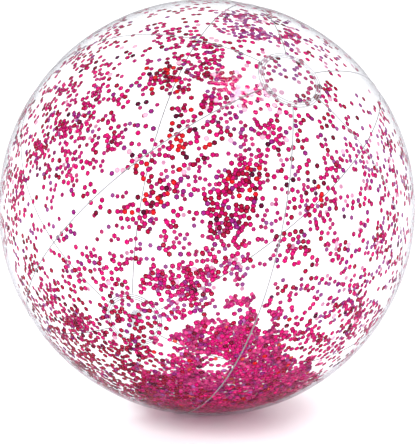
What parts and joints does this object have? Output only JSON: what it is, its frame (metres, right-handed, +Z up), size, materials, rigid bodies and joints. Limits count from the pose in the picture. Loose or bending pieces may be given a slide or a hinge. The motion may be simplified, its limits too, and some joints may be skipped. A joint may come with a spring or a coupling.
{
  "type": "inflatable beach ball",
  "caption": "Inflated clear film beach ball: six gores, two round polar caps and a push-in valve, with loose foil glitter inside.",
  "frame": {"origin": "middle of the flat patch that the inflated ball rests on", "axes": "+Z up; -Y faces the side from which the upper polar cap is seen; the polar axis leans 46 degrees from +Z"},
  "size_m": [0.5092, 0.5094, 0.5086],
  "materials": {
    "film": "clear, glossy",
    "valve_vinyl": "clear, soft gloss",
    "foil": "metallised film, glossy",
    "foil_dark": "metallised film, glossy"
  },
  "bodies": {
    "root": {"gore_1": "film", "gore_2": "film", "gore_3": "film", "gore_4": "film", "gore_5": "film", "gore_6": "film", "polar_cap": "film", "valve_cap": "film", "valve_flange": "valve_vinyl", "glitter_flake_1": "foil_dark", "glitter_flake_2": "foil", "glitter_flake_3": "foil", "glitter_flake_4": "foil", "glitter_flake_5": "foil_dark", "glitter_flake_6": "foil", "glitter_flake_7": "foil", "glitter_flake_8": "foil", "glitter_flake_9": "foil_dark", "glitter_flake_10": "foil", "glitter_flake_11": "foil", "glitter_flake_12": "foil", "glitter_flake_13": "foil_dark", "glitter_flake_14": "foil", "glitter_flake_15": "foil", "glitter_flake_16": "foil", "glitter_flake_17": "foil_dark", "glitter_flake_18": "foil", "glitter_flake_19": "foil", "glitter_flake_20": "foil", "glitter_flake_21": "foil_dark", "glitter_flake_22": "foil", "glitter_flake_23": "foil", "glitter_flake_24": "foil", "glitter_flake_25": "foil_dark", "glitter_flake_26": "foil", "glitter_flake_27": "foil", "glitter_flake_28": "foil", "glitter_flake_29": "foil_dark", "glitter_flake_30": "foil", "glitter_flake_31": "foil", "glitter_flake_32": "foil", "glitter_flake_33": "foil_dark", "glitter_flake_34": "foil"},
    "stem": {"valve_stem": "valve_vinyl"},
    "plug": {"valve_plug": "valve_vinyl", "plug_strap": "valve_vinyl"},
    "flap": {"check_flap": "valve_vinyl"},
    "loose_glitter": {"glitter_heap": "foil"}
  },
  "joints": [
    {"name": "stem_slide", "type": "slide", "parent": "root", "child": "stem", "axis": [-0.3759, 0.6133, -0.6947], "range_m": [0, 0.0125]},
    {"name": "plug_swing", "type": "hinge", "parent": "stem", "child": "plug", "pos_m": [-0.09348, 0.14773, 0.06521], "axis": [-0.9027, -0.4117, 0.1249], "range_deg": [0, 170]},
    {"name": "check_flap_swing", "type": "hinge", "parent": "stem", "child": "flap", "pos_m": [-0.09144, 0.15088, 0.09034], "axis": [-0.9027, -0.4117, 0.1249], "range_deg": [0, 60], "stiffness_Nm_per_rad": 0.0001},
    {"name": "glitter_roll", "type": "hinge", "parent": "root", "child": "loose_glitter", "pos_m": [0, 0, 0.25387], "axis": [0.5, -0.866, 0], "continuous": true}
  ]
}
